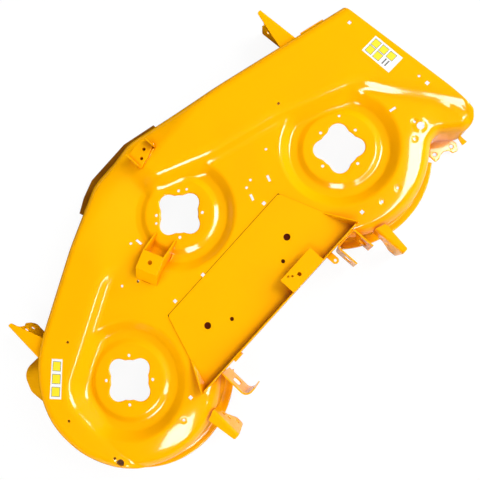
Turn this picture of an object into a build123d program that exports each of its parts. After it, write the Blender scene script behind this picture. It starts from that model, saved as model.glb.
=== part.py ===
"""Three-spindle lawn mower deck: a pressed steel shell with its welded hangers, wheel brackets and baffles.

Millimetres. X runs to the discharge side, Y to the front of the mower, Z up.
The origin is the middle of the centre spindle's bolt circle, on the top face of its pad.
"""

from build123d import *

import os
from math import atan2, cos, hypot, radians, sin, tan

# Pressed shell
SHEET = 2.8
PAD_Z = 0.0
GROOVE_Z = -8.0
FLOOR_Z = 14.0
BAND_Z = 36.0
SKIRT_BASE_Z = -104.0
FLOOR_ROUND = 26.0
BAND_ROUND = 30.0
STEP_LEAN = 46.0
STEP_DEPTH_Z = -30.0
OPEN_SIDE_REACH = 40.0

# Spindles
SPINDLE_SPREAD = 902.0
SPINDLE_STAGGER = 223.0
BOLT_CIRCLE_R = 69.85
BOLT_HOLE_R = 4.6
CLOVER_LOBE_R = 28.0
CLOVER_LOBE_OUT = 46.0
CLOVER_WAIST_R = 56.5
CLOVER_ROUND = 16.0

# Dish around each spindle, as radii from its axis
PAD_R = 103.0
GROOVE_IN_R = 120.0
GROOVE_OUT_R = 143.0
DISH_TOP_R = 170.0

# Turned-out flange and lip along the bottom of the skirt
FLANGE_W = 24.0
FLANGE_LIP = 8.0
FLANGE_FRONT_Y = -400.0
FLANGE_RIGHT_X = 742.0
LIP_RIGHT_X = 616.0
SKIRT_DEPTH = 60.0

# Plate work
PLATE_T = 4.0
ARM_T = 4.5
BEND_R = 8.0
TIP_ROUND = 6.0

# Rear plate over the pressed shell
PLATE_HALF_FRONT = 236.0
PLATE_HALF_WAIST = 276.0
PLATE_HALF_REAR = 308.0
PLATE_FRONT_Y = -184.0
PLATE_WAIST_Y = -306.0
PLATE_REAR_Y = -408.0
PLATE_FLANGE_H = 40.0
GUSSET_LEAN = 12.0

SPINDLE_LEFT = (-SPINDLE_SPREAD / 2, -SPINDLE_STAGGER)
SPINDLE_CENTRE = (0.0, 0.0)
SPINDLE_RIGHT = (SPINDLE_SPREAD / 2, -SPINDLE_STAGGER)
SPINDLES = [SPINDLE_LEFT, SPINDLE_CENTRE, SPINDLE_RIGHT]
CLOVER_TURNS = [0.0, 0.0, 45.0]

# Rear plate holes as (x, y, radius)
PLATE_HOLES = [
    (159.0, -286.0, 10.0),
    (-177.0, -288.0, 10.0),
    (101.0, -324.0, 5.75),
    (-116.0, -326.0, 5.75),
]

# Shelf on the flange
SHELF_LEFT_X = 56.0
SHELF_RIGHT_X = 177.0
SHELF_FRONT_Y = -357.0
SHELF_HOLES = [
    (104.0, -384.0, 5.5),
    (87.0, -374.0, 3.0),
    (78.0, -366.0, 3.0),
]

# Tongue and rest block behind the flange
TAB_LEFT_X = 189.0
TAB_RIGHT_X = 209.0
TAB_REAR_Y = -440.0
TAB_Z = 22.0
TAB_HOLE_R = 4.0
LUG_LEFT_X = -191.0
LUG_RIGHT_X = -163.0
LUG_T = 7.0
LUG_LOW_Z = 22.0
LUG_HIGH_Z = 46.0

# Hangers behind the flange
HANGER_LOW_Z = -85.0
HANGER_HIGH_Z = 38.0
HANGER_RIGHT_X1 = 230.0
HANGER_RIGHT_X2 = 295.0
HANGER_REAR_Y = -480.0
HANGER_LEFT_X = -241.0
HOOK_REAR_Y = -500.0
HOOK_TIP_X = -207.0
HOOK_R = 20.0
HANGER_SLOT_Y = -452.0
HANGER_SLOT_Z = -26.0
HANGER_SLOT_H = 62.0
HANGER_SLOT_W = 24.0

# Wheel arms
ARM_TOP_Z = 0.0
ARM_NECK_Z = -62.0
REAR_ARM_LOW_Z = -120.0
FRONT_ARM_LOW_Z = -122.0
AXLE_HOLE_R = 6.6
AXLE_BACK = 30.0
FRONT_AXLE_Z = [-60.0, -92.0]
FRONT_ARM_TIP_W = 15.0
FRONT_ARM_ROOT_W = 55.0
ARM_HIDDEN = 70.0
ARM_CUT = 80.0
FRONT_ARM_RIGHT = {"outer_x": 625.0, "root_y": 92.0, "root_skew": 20.0, "tip_y": 242.0, "lean": 5.0}
FRONT_ARM_LEFT = {"outer_x": 604.0, "root_y": 24.0, "root_skew": 32.0, "tip_y": 164.0, "lean": 9.0}
REAR_ARM_IN_X = 338.0
REAR_ARM_OUT_X = 370.0
REAR_ARM_TIP_X = 357.0
REAR_ARM_ROOT_Y = -430.0
REAR_ARM_WAIST_Y = -471.0
REAR_ARM_TIP_Y = -555.0
REAR_AXLE_HOLES = [(-531.0, -92.0), (-505.0, -56.0), (-484.5, -46.0)]

# Idler bracket, in its own frame that runs away from the centre spindle
IDLER_AT = (-130.0, -38.0)
IDLER_TURN = 200.7
IDLER_U = (-59.0, 0.0, 56.0, 86.0)
IDLER_W = 68.0
IDLER_TOP_Z = 50.0
IDLER_TOE_Z = 6.0
IDLER_HOLE_U = 28.0
IDLER_HOLE_R = 6.5

# Channel on the nose
NOSE_HANGER_BASE = [
    (100.0, 214.0),
    (86.0, 227.0),
    (23.0, 225.0),
    (23.0, 167.0),
    (63.0, 175.0),
    (100.0, 189.0),
]
NOSE_HANGER_X1 = 23.0
NOSE_HANGER_X2 = 100.0
NOSE_HANGER_Y = 197.0
NOSE_HANGER_L = 54.0
NOSE_HANGER_H = 24.0
NOSE_HANGER_HOLES = [(72.0, 201.0), (47.0, 187.0)]
NOSE_HANGER_HOLE_R = 5.0

# Lips outside the front wall
NOSE_LIP_Z = -90.0
NOSE_LIP_POINTS = [
    (150.0, 200.0, 0.0),
    (150.0, 292.0, 0.0),
    (40.0, 323.0, 12.0),
    (-117.0, 323.0, 12.0),
    (-176.0, 303.0, 12.0),
    (-222.0, 278.0, 0.0),
    (-200.0, 200.0, 0.0),
]
RIGHT_LIP_X = 681.0
RIGHT_LIP_Z = -20.0
RIGHT_LIP_L = 78.0
RIGHT_LIP_OUT = 20.0
RIGHT_LIP_H = 40.0

# Strips under the shell round the front of each blade
BAFFLE_R = 246.0
BAFFLE_LOW_Z = -92.0
BAFFLES = [
    ("front_baffle_left", SPINDLE_LEFT, 34.0, 158.0),
    ("front_baffle_centre", SPINDLE_CENTRE, 22.0, 196.0),
    ("front_baffle_right", SPINDLE_RIGHT, 62.0, 148.0),
]

# Ear plates at the rear right notch, and their holes
EAR_POINTS = [
    (628.0, -396.0),
    (625.0, -452.0),
    (641.0, -454.0),
    (653.0, -449.0),
    (667.0, -449.0),
    (679.0, -458.0),
    (681.0, -472.0),
    (698.0, -478.0),
    (712.0, -459.0),
    (712.0, -440.0),
    (690.0, -400.0),
]
EAR_HOLES = [(694.0, -455.0), (642.0, -435.0)]
EAR_HOLE_R = 5.5

# Holes through the shell
SMALL_HOLE_R = 4.0
ROUND_HOLES = [
    (523.0, -160.0),
    (310.0, -68.0),
    (430.0, -11.0),
    (213.0, -95.0),
    (189.0, -102.0),
    (-226.0, -49.0),
    (-268.0, -23.0),
    (-162.0, 49.0),
    (-490.0, -21.0),
    (-645.0, -179.0),
    (69.0, 34.0),
    (-67.0, 33.0),
    (739.0, -260.0),
    (640.0, -334.0),
    (-631.0, -345.0),
    (409.0, -417.0),
    (467.0, -423.0),
    (-416.0, -416.0),
    (603.0, -367.0),
]
SLOT_L = 20.0
SLOT_W = 7.0
SLOTS = [
    (178.0, -133.0, 67.0),
    (251.0, -132.0, 67.0),
    (-143.0, 36.0, 92.0),
    (629.0, -265.0, -15.0),
]
SQUARE_HOLE = 10.0
SQUARE_HOLES = [
    (188.0, -171.0),
    (-82.0, -179.0),
    (-192.0, -170.0),
    (351.0, -395.0),
    (-357.0, -388.0),
    (740.0, -6.0),
    (738.0, -290.0),
]
PORT_R = 11.0
WASH_PORTS = [(642.0, -354.0), (-631.0, -365.0)]

# Corners of the shell's side wall as (x, y, round), anticlockwise from the front right
SHELL_CORNERS = [
    (770.0, 46.0, 0.0),
    (59.0, 269.0, 150.0),
    (-112.0, 269.0, 110.0),
    (-701.0, -25.0, 296.0),
    (-701.0, -478.0, 262.0),
    (-317.4, -478.0, 262.0),
    (-226.0, -370.0, 30.0),
    (236.0, -370.0, 30.0),
    (327.0, -478.0, 260.0),
    (528.0, -478.0, 260.0),
    (638.0, -404.0, 45.0),
    (668.0, -404.0, 28.0),
    (737.0, -471.0, 34.0),
    (770.0, -434.0, 0.0),
]

# Top edge of the raised front band, closed off behind the deck
STEP_CORNERS = [
    (-860.0, -555.0, 0.0),
    (-860.0, -900.0, 0.0),
    (812.0, -900.0, 0.0),
    (812.0, -516.0, 0.0),
    (635.0, -139.0, 150.0),
    (404.0, -24.0, 300.0),
    (205.0, 42.0, 300.0),
    (11.0, 139.0, 90.0),
    (-307.0, 25.0, 900.0),
    (-572.0, -82.0, 200.0),
]

# Foot and crown of the bulge at the front left corner
FLARE_FOOT = [
    (-575.0, 22.0, 0.0),
    (-638.0, 60.0, 20.0),
    (-712.0, 66.0, 44.0),
    (-737.0, 2.0, 40.0),
    (-728.0, -70.0, 30.0),
    (-699.0, -135.0, 0.0),
    (-640.0, -165.0, 0.0),
    (-560.0, -120.0, 0.0),
]
FLARE_CROWN = [
    (-560.0, -6.0, 0.0),
    (-586.0, 2.0, 14.0),
    (-616.0, -10.0, 20.0),
    (-646.0, -52.0, 20.0),
    (-664.0, -96.0, 20.0),
    (-682.0, -150.0, 0.0),
    (-640.0, -165.0, 0.0),
    (-560.0, -120.0, 0.0),
]
FLARE_TOP_Z = -2.0


def crossing(p, u, q, v):
    """Where the line through p along u meets the line through q along v."""
    det = u[0] * v[1] - u[1] * v[0]
    s = ((q[0] - p[0]) * v[1] - (q[1] - p[1]) * v[0]) / det
    return (p[0] + s * u[0], p[1] + s * u[1])


def rounded_face(corners, inset=0.0, last_inset=None):
    """A flat face with straight sides and rounded corners, drawn in by inset on every side."""
    count = len(corners)
    insets = [inset] * count
    if last_inset is not None:
        insets[-1] = last_inset
    sides = []
    for i in range(count):
        a = corners[i]
        b = corners[(i + 1) % count]
        run = hypot(b[0] - a[0], b[1] - a[1])
        u = ((b[0] - a[0]) / run, (b[1] - a[1]) / run)
        sides.append(((a[0] - u[1] * insets[i], a[1] + u[0] * insets[i]), u))
    ends = []
    for i in range(count):
        before, u = sides[i - 1]
        after, v = sides[i]
        corner = crossing(before, u, after, v)
        turn = u[0] * v[1] - u[1] * v[0]
        radius = corners[i][2]
        if radius <= 0:
            ends.append((corner, corner, None))
            continue
        radius += -inset if turn > 0 else inset
        bend = abs(atan2(turn, u[0] * v[0] + u[1] * v[1]))
        back = radius * tan(bend / 2)
        start = (corner[0] - u[0] * back, corner[1] - u[1] * back)
        stop = (corner[0] + v[0] * back, corner[1] + v[1] * back)
        reach = radius / cos(bend / 2) - radius
        w = (v[0] - u[0], v[1] - u[1])
        size = hypot(w[0], w[1])
        middle = (corner[0] + w[0] / size * reach, corner[1] + w[1] / size * reach)
        ends.append((start, stop, middle))
    edges = []
    for i in range(count):
        start, stop, middle = ends[i]
        if middle:
            edges.append(Edge.make_three_point_arc((*start, 0), (*middle, 0), (*stop, 0)))
        following = ends[(i + 1) % count][0]
        if hypot(following[0] - stop[0], following[1] - stop[1]) > 1e-6:
            edges.append(Edge.make_line((*stop, 0), (*following, 0)))
    return Face(Wire(edges))


def upright(face, low, high):
    """The face in plan, raised from low to high."""
    return Pos(0, 0, low) * extrude(face, high - low)


def rounded_block(inset, top, top_round):
    """The shell's outline raised to top, with its upper edge rounded except on the discharge side."""
    last = -OPEN_SIDE_REACH if inset else 0.0
    low = SKIRT_BASE_Z - (OPEN_SIDE_REACH if inset else 0.0)
    block = upright(rounded_face(SHELL_CORNERS, inset, last), low, top - inset)
    right_side = SHELL_CORNERS[0][0] - last
    rim = [
        edge
        for edge in block.edges()
        if edge.center().Z > top - inset - 0.01 and edge.center().X < right_side - 0.5
    ]
    return fillet(rim, top_round - inset)


def step_space(inset):
    """The space behind the raised band's sloping wall."""
    rise = BAND_Z + OPEN_SIDE_REACH - STEP_DEPTH_Z
    slope = radians(STEP_LEAN)
    shift = (BAND_Z - STEP_DEPTH_Z) * tan(slope) - inset * (1 / cos(slope) - tan(slope))
    base = rounded_face(STEP_CORNERS, shift)
    return Pos(0, 0, STEP_DEPTH_Z - inset) * extrude(base, rise, taper=-STEP_LEAN)


def dish_space(spindle, inset):
    """The turned space above a spindle's pad and groove."""
    profile = Polyline(
        (0, PAD_Z - inset),
        (PAD_R, PAD_Z - inset),
        (GROOVE_IN_R, GROOVE_Z - inset),
        (GROOVE_OUT_R, GROOVE_Z - inset),
        (DISH_TOP_R, FLOOR_Z - inset),
        (DISH_TOP_R, BAND_Z),
        (0, BAND_Z),
        close=True,
    )
    return Pos(*spindle, 0) * revolve(Plane.XZ * make_face(profile), Axis.Z)


def flare_space(inset):
    """The bulge pressed out of the skirt's front left corner, wide at the bottom and closing to the rim."""
    foot = rounded_face(FLARE_FOOT, inset)
    crown = rounded_face(FLARE_CROWN, inset)
    top = Pos(0, 0, FLARE_TOP_Z - inset) * crown
    bulge = loft([Pos(0, 0, SKIRT_BASE_Z) * foot, top], ruled=True)
    if inset:
        bulge += upright(foot, SKIRT_BASE_Z - OPEN_SIDE_REACH, SKIRT_BASE_Z)
    return bulge


def pressed_body(inset):
    """The form that the sheet is pressed to, as a solid; the inside face is the same form drawn in."""
    floor = rounded_block(inset, FLOOR_Z, FLOOR_ROUND)
    for spindle in SPINDLES:
        floor -= dish_space(spindle, inset)
    band = rounded_block(inset, BAND_Z, BAND_ROUND) - step_space(inset)
    return floor + band + flare_space(inset)


def drill(x, y, radius, low=-60.0, high=80.0):
    """An upright round hole."""
    return Pos(x, y, low) * extrude(Circle(radius), high - low)


def punch(x, y, length, width, turn, low=-60.0, high=80.0):
    """An upright rectangular hole."""
    return Pos(x, y, low) * Rot(0, 0, turn) * extrude(Rectangle(length, width), high - low)


def clover(turn):
    """The four-lobed opening that a spindle housing drops into."""
    outline = Circle(CLOVER_WAIST_R)
    for quarter in range(4):
        angle = radians(turn + 90 * quarter)
        outline += Pos(CLOVER_LOBE_OUT * cos(angle), CLOVER_LOBE_OUT * sin(angle)) * Circle(CLOVER_LOBE_R)
    return fillet(outline.vertices(), CLOVER_ROUND)


def plate(points, low, thickness, rounds=0.0):
    """A flat plate with straight sides, lying level."""
    face = rounded_face([(x, y, rounds) for x, y in points])
    return Pos(0, 0, low) * extrude(face, thickness)


def wall_plate(points, axis_plane, thickness):
    """A flat plate standing in a plane, given by points in that plane."""
    face = make_face(Polyline(*points, close=True))
    return extrude(axis_plane * face, thickness)


def deck_shell(outer):
    """The pressed shell with its bottom flange, lip, ears and every hole."""
    shell = outer - pressed_body(SHEET)
    flange_z = SKIRT_BASE_Z
    wide = rounded_face(SHELL_CORNERS, -FLANGE_W)
    behind = Pos(0, FLANGE_FRONT_Y - FLANGE_RIGHT_X, flange_z)
    ring = upright(wide - rounded_face(SHELL_CORNERS), flange_z, flange_z + SHEET)
    shell += ring & behind * Box(2 * FLANGE_RIGHT_X, 2 * FLANGE_RIGHT_X, SKIRT_DEPTH)
    edge = rounded_face(SHELL_CORNERS, SHEET - FLANGE_W)
    lip = upright(wide - edge, flange_z - FLANGE_LIP, flange_z)
    beside = Pos(LIP_RIGHT_X - FLANGE_RIGHT_X, 0, 0)
    shell += lip & behind * beside * Box(2 * FLANGE_RIGHT_X, 2 * FLANGE_RIGHT_X, SKIRT_DEPTH)
    ears = plate(EAR_POINTS, flange_z, SHEET) - pressed_body(SHEET)
    shell += ears
    for spindle, turn in zip(SPINDLES, CLOVER_TURNS):
        shell -= Pos(*spindle, -60) * extrude(clover(turn), 120)
        for quarter in range(4):
            angle = radians(turn + 45 + 90 * quarter)
            x = spindle[0] + BOLT_CIRCLE_R * cos(angle)
            y = spindle[1] + BOLT_CIRCLE_R * sin(angle)
            shell -= drill(x, y, BOLT_HOLE_R)
    for x, y in ROUND_HOLES:
        shell -= drill(x, y, SMALL_HOLE_R)
    for x, y in WASH_PORTS:
        shell -= drill(x, y, PORT_R)
    for x, y, turn in SLOTS:
        shell -= punch(x, y, SLOT_L, SLOT_W, turn)
    for x, y in SQUARE_HOLES:
        shell -= punch(x, y, SQUARE_HOLE, SQUARE_HOLE, 0)
    for x, y in EAR_HOLES:
        shell -= drill(x, y, EAR_HOLE_R, flange_z - 20, flange_z + 20)
    return shell


def rear_plate():
    """The flat cover plate over the shell's waist, with its upturned rear flange and leaning side gussets."""
    top = FLOOR_Z + PLATE_T
    corners = [
        (PLATE_HALF_FRONT, PLATE_FRONT_Y, 12.0),
        (-PLATE_HALF_FRONT, PLATE_FRONT_Y, 12.0),
        (-PLATE_HALF_WAIST, PLATE_WAIST_Y, 0.0),
        (-PLATE_HALF_REAR, PLATE_REAR_Y, 0.0),
        (PLATE_HALF_REAR, PLATE_REAR_Y, 0.0),
        (PLATE_HALF_WAIST, PLATE_WAIST_Y, 0.0),
    ]
    body = upright(rounded_face(corners), FLOOR_Z, top)
    bend = [
        (PLATE_REAR_Y, FLOOR_Z, BEND_R),
        (PLATE_REAR_Y + 2 * BEND_R, FLOOR_Z, 0.0),
        (PLATE_REAR_Y + 2 * BEND_R, top, 0.0),
        (PLATE_REAR_Y + PLATE_T, top, BEND_R - PLATE_T),
        (PLATE_REAR_Y + PLATE_T, FLOOR_Z + PLATE_FLANGE_H, 0.0),
        (PLATE_REAR_Y, FLOOR_Z + PLATE_FLANGE_H, 0.0),
    ]
    body -= Pos(0, PLATE_REAR_Y, FLOOR_Z) * Box(4 * PLATE_HALF_REAR, 2 * BEND_R, 4 * PLATE_T)
    across = Plane(origin=(-PLATE_HALF_REAR, 0, 0), x_dir=(0, 1, 0), z_dir=(1, 0, 0))
    body += extrude(across * rounded_face(bend), 2 * PLATE_HALF_REAR)
    crest = FLOOR_Z + PLATE_FLANGE_H
    for side in (-1, 1):
        foot = (side * PLATE_HALF_WAIST, PLATE_WAIST_Y, FLOOR_Z)
        heel = (side * PLATE_HALF_REAR, PLATE_REAR_Y, FLOOR_Z)
        peak = (side * (PLATE_HALF_REAR + GUSSET_LEAN), PLATE_REAR_Y, crest)
        outside = Face(Wire.make_polygon([foot, heel, peak], close=True))
        inward = -PLATE_T if outside.normal_at().X * side > 0 else PLATE_T
        body += extrude(outside, inward)
    room = 2 * (PLATE_HALF_REAR + GUSSET_LEAN)
    body &= upright(Pos(0, PLATE_REAR_Y + room / 2) * Rectangle(room, room), FLOOR_Z, crest)
    for x, y, radius in PLATE_HOLES:
        body -= drill(x, y, radius)
    return body


def shelf_bracket():
    """The small shelf on top of the rear plate's flange."""
    low = FLOOR_Z + PLATE_FLANGE_H
    corners = [
        (SHELF_RIGHT_X, SHELF_FRONT_Y, 5.0),
        (SHELF_LEFT_X, SHELF_FRONT_Y, 5.0),
        (SHELF_LEFT_X, PLATE_REAR_Y, 3.0),
        (SHELF_RIGHT_X, PLATE_REAR_Y, 3.0),
    ]
    body = upright(rounded_face(corners), low, low + PLATE_T)
    for x, y, radius in SHELF_HOLES:
        body -= drill(x, y, radius)
    return body


def rear_tab():
    """The round-ended tongue behind the rear plate's flange."""
    width = TAB_RIGHT_X - TAB_LEFT_X
    middle = (TAB_LEFT_X + TAB_RIGHT_X) / 2
    end = TAB_REAR_Y + width / 2
    face = Pos(middle, (PLATE_REAR_Y + end) / 2) * Rectangle(width, PLATE_REAR_Y - end)
    face += Pos(middle, end) * Circle(width / 2)
    face -= Pos(middle, end) * Circle(TAB_HOLE_R)
    return Pos(0, 0, TAB_Z) * extrude(face, PLATE_T)


def rear_lug():
    """The small rest block behind the rear plate's flange."""
    return Pos(
        (LUG_LEFT_X + LUG_RIGHT_X) / 2, PLATE_REAR_Y - LUG_T / 2, (LUG_LOW_Z + LUG_HIGH_Z) / 2
    ) * Box(LUG_RIGHT_X - LUG_LEFT_X, LUG_T, LUG_HIGH_Z - LUG_LOW_Z)


def hanger_window(x, y):
    """A tall round-ended opening through a hanger ear, cut along X."""
    opening = SlotOverall(HANGER_SLOT_H, HANGER_SLOT_W, rotation=90)
    middle = Plane(origin=(x - 20, y, HANGER_SLOT_Z), x_dir=(0, 1, 0), z_dir=(1, 0, 0))
    return extrude(middle * opening, 40)


def hanger_right(outer):
    """The channel behind the right end of the plate that a lift link hangs from."""
    channel = FilletPolyline(
        (HANGER_RIGHT_X1, HANGER_REAR_Y),
        (HANGER_RIGHT_X1, PLATE_REAR_Y - ARM_T / 2),
        (HANGER_RIGHT_X2, PLATE_REAR_Y - ARM_T / 2),
        (HANGER_RIGHT_X2, HANGER_REAR_Y),
        radius=BEND_R,
    )
    body = upright(trace(channel, line_width=ARM_T), HANGER_LOW_Z, HANGER_HIGH_Z)
    for x in (HANGER_RIGHT_X1, HANGER_RIGHT_X2):
        body -= hanger_window(x, HANGER_SLOT_Y)
    return body - outer


def hanger_left(outer):
    """The upright hook plate behind the left end of the plate."""
    path = FilletPolyline(
        (HANGER_LEFT_X, PLATE_REAR_Y),
        (HANGER_LEFT_X, HOOK_REAR_Y),
        (HOOK_TIP_X, HOOK_REAR_Y),
        radius=HOOK_R,
    )
    body = upright(trace(path, line_width=ARM_T), HANGER_LOW_Z, HANGER_HIGH_Z)
    body -= hanger_window(HANGER_LEFT_X, HANGER_SLOT_Y)
    return body - outer


def bent_section(outer_x, side, lean, width, depth):
    """Section across an arm: a level top and a flange that leans in towards its foot, with a rounded bend."""
    down = (-side * sin(lean), -cos(lean))
    across = (-side * cos(lean), sin(lean))
    bend = (outer_x, ARM_TOP_Z)
    foot = (bend[0] + down[0] * depth, bend[1] + down[1] * depth)
    foot_in = (foot[0] + across[0] * ARM_T, foot[1] + across[1] * ARM_T)
    bend_in = crossing(foot_in, down, (outer_x, ARM_TOP_Z - ARM_T), (1.0, 0.0))
    far_x = outer_x - side * width
    corners = [
        (*bend, BEND_R),
        (far_x, ARM_TOP_Z, 0.0),
        (far_x, ARM_TOP_Z - ARM_T, 0.0),
        (*bend_in, BEND_R - ARM_T),
        (*foot_in, 0.0),
        (*foot, 0.0),
    ]
    return rounded_face(corners if side > 0 else corners[::-1])


def bent_arm(section, top, flange, flange_plane, holes):
    """An arm with the given section along Y, its top cut to a plan shape and its flange to a side shape."""
    rear_y = min(y for x, y, radius in top)
    front_y = max(y for x, y, radius in top)
    run = Plane(origin=(0, rear_y, 0), x_dir=(1, 0, 0), z_dir=(0, -1, 0))
    body = extrude(run * section, rear_y - front_y)
    body &= upright(rounded_face(top), REAR_ARM_LOW_Z + FRONT_ARM_LOW_Z, BAND_Z)
    body &= extrude(flange_plane * rounded_face(flange), ARM_CUT, both=True)
    for y, z in holes:
        body -= extrude(flange_plane * Pos(y, z) * Circle(AXLE_HOLE_R), 2 * ARM_T, both=True)
    return body


def rear_wheel_arm(outer, side):
    """A bent arm behind the skirt that carries a gauge wheel on its upright flange."""
    section = bent_section(REAR_ARM_IN_X, -1, 0.0, REAR_ARM_OUT_X - REAR_ARM_IN_X, -REAR_ARM_LOW_Z)
    top = [
        (REAR_ARM_IN_X, REAR_ARM_ROOT_Y, 0.0),
        (REAR_ARM_IN_X, REAR_ARM_TIP_Y, 0.0),
        (REAR_ARM_TIP_X, REAR_ARM_TIP_Y, TIP_ROUND),
        (REAR_ARM_OUT_X, REAR_ARM_WAIST_Y, TIP_ROUND),
        (REAR_ARM_OUT_X, REAR_ARM_ROOT_Y, 0.0),
    ]
    flange = [
        (REAR_ARM_ROOT_Y, BAND_Z, 0.0),
        (REAR_ARM_TIP_Y, BAND_Z, 0.0),
        (REAR_ARM_TIP_Y, ARM_TOP_Z - BEND_R, 0.0),
        (REAR_ARM_TIP_Y + TIP_ROUND, REAR_ARM_LOW_Z, 2 * TIP_ROUND),
        (REAR_ARM_WAIST_Y - 52, REAR_ARM_LOW_Z, 2 * TIP_ROUND),
        (REAR_ARM_WAIST_Y - 18, ARM_NECK_Z, 4 * TIP_ROUND),
        (REAR_ARM_ROOT_Y, ARM_NECK_Z, 0.0),
    ]
    standing = Plane(origin=(REAR_ARM_IN_X, 0, 0), x_dir=(0, 1, 0), z_dir=(1, 0, 0))
    body = bent_arm(section, top, flange, standing, REAR_AXLE_HOLES)
    if side < 0:
        body = mirror(body, about=Plane.YZ)
    return body - outer


def front_wheel_arm(outer, side, arm):
    """A tapering arm ahead of the skirt, with a flange down its outer edge for a gauge wheel."""
    outer_x = side * arm["outer_x"]
    lean = radians(arm["lean"])
    root = arm["root_y"]
    tip = arm["tip_y"]
    section = bent_section(outer_x, side, lean, FRONT_ARM_ROOT_W, -FRONT_ARM_LOW_Z)
    top = [
        (outer_x, root - ARM_HIDDEN, 0.0),
        (outer_x, tip, TIP_ROUND / 2),
        (outer_x - side * FRONT_ARM_TIP_W, tip, TIP_ROUND),
        (outer_x - side * FRONT_ARM_ROOT_W, root + arm["root_skew"], 0.0),
        (outer_x - side * FRONT_ARM_ROOT_W, root - ARM_HIDDEN, 0.0),
    ]
    flange = [
        (root - ARM_HIDDEN, BAND_Z, 0.0),
        (root - ARM_HIDDEN, ARM_NECK_Z, 0.0),
        (root + 10, ARM_NECK_Z, 0.0),
        (root + 40, FRONT_ARM_LOW_Z, TIP_ROUND),
        (tip - 4, FRONT_ARM_LOW_Z, TIP_ROUND),
        (tip - 6, -78, TIP_ROUND / 2),
        (tip - 14, -70, 0.0),
        (tip - 14, -44, 2 * TIP_ROUND),
        (tip, -16, TIP_ROUND),
        (tip, BAND_Z, 0.0),
    ]
    along = Plane(origin=(outer_x, 0, ARM_TOP_Z), x_dir=(0, 1, 0), z_dir=(cos(lean), 0, -side * sin(lean)))
    holes = [(tip - AXLE_BACK, z) for z in FRONT_AXLE_Z]
    return bent_arm(section, top if side > 0 else top[::-1], flange, along, holes) - outer


def idler_bracket(outer):
    """The open box beside the centre spindle that holds the idler arm up off the shell."""
    u0, u1, u2, u3 = IDLER_U
    profile = [
        (u0, -20),
        (u0, IDLER_TOE_Z),
        (u1, IDLER_TOP_Z),
        (u2, IDLER_TOP_Z),
        (u3, FLOOR_Z),
        (u3, -20),
    ]
    hollow = [
        (u0 - 20, -40),
        (u0 - 20, IDLER_TOP_Z + 20),
        (u1, IDLER_TOP_Z + 20),
        (u1, IDLER_TOP_Z - PLATE_T),
        (u2 - PLATE_T / 2, IDLER_TOP_Z - PLATE_T),
        (u3 - PLATE_T * 1.3, FLOOR_Z),
        (u3 - PLATE_T * 1.3, -40),
    ]
    half = IDLER_W / 2
    standing = Plane(origin=(0, half, 0), x_dir=(1, 0, 0), z_dir=(0, -1, 0))
    inside = Plane(origin=(0, half - PLATE_T, 0), x_dir=(1, 0, 0), z_dir=(0, -1, 0))
    body = wall_plate(profile, standing, IDLER_W) - wall_plate(hollow, inside, IDLER_W - 2 * PLATE_T)
    body -= Pos(IDLER_HOLE_U, 0, 0) * extrude(Circle(IDLER_HOLE_R), 90)
    return Pos(*IDLER_AT, 0) * Rot(0, 0, IDLER_TURN) * body - outer


def nose_hanger(outer):
    """The channel on the nose that the front lift rod hooks into."""
    low = BAND_Z
    base = upright(rounded_face([(x, y, 4.0) for x, y in NOSE_HANGER_BASE]), low, low + PLATE_T)
    left = Pos(NOSE_HANGER_X1 + PLATE_T / 2, NOSE_HANGER_Y, low + NOSE_HANGER_H / 2) * Box(
        PLATE_T, NOSE_HANGER_L, NOSE_HANGER_H
    )
    right = Pos(NOSE_HANGER_X2 - PLATE_T / 2, NOSE_HANGER_Y, low + NOSE_HANGER_H / 2) * Box(
        PLATE_T, NOSE_HANGER_L - 20, NOSE_HANGER_H
    )
    body = base + left + right
    for x, y in NOSE_HANGER_HOLES:
        body -= drill(x, y, NOSE_HANGER_HOLE_R)
    return body - outer


def nose_lip(outer):
    """The level lip outside the bottom of the nose."""
    return upright(rounded_face(NOSE_LIP_POINTS), NOSE_LIP_Z - PLATE_T, NOSE_LIP_Z) - outer


def right_lip():
    """The short angle on the front right wall."""
    across = (SHELL_CORNERS[0][0] - SHELL_CORNERS[1][0], SHELL_CORNERS[0][1] - SHELL_CORNERS[1][1])
    run = hypot(*across)
    turn = atan2(across[1], across[0])
    out = (-across[1] / run, across[0] / run)
    share = (RIGHT_LIP_X - SHELL_CORNERS[1][0]) / across[0]
    base = (RIGHT_LIP_X, SHELL_CORNERS[1][1] + across[1] * share)
    section = Polyline(
        (0, RIGHT_LIP_Z),
        (RIGHT_LIP_OUT, RIGHT_LIP_Z),
        (RIGHT_LIP_OUT, RIGHT_LIP_Z - PLATE_T),
        (PLATE_T, RIGHT_LIP_Z - PLATE_T),
        (PLATE_T, RIGHT_LIP_Z - RIGHT_LIP_H),
        (0, RIGHT_LIP_Z - RIGHT_LIP_H),
        close=True,
    )
    start = (base[0] - across[0] / run * RIGHT_LIP_L / 2, base[1] - across[1] / run * RIGHT_LIP_L / 2, 0)
    cross = Plane(origin=start, x_dir=(*out, 0), z_dir=(cos(turn), sin(turn), 0))
    return extrude(cross * make_face(section), RIGHT_LIP_L)


def front_baffle(inner, spindle, first, last):
    """A curved strip under the shell that follows the blade tips round the front of one spindle."""
    ring = Circle(BAFFLE_R + SHEET) - Circle(BAFFLE_R)
    reach = 2 * BAFFLE_R
    corners = [(0, 0)]
    for step in range(5):
        angle = radians(first + (last - first) * step / 4)
        corners.append((reach * cos(angle), reach * sin(angle)))
    ring &= make_face(Polyline(*corners, close=True))
    strip = Pos(*spindle, BAFFLE_LOW_Z) * extrude(ring, BAND_Z - BAFFLE_LOW_Z)
    return strip & inner


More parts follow.
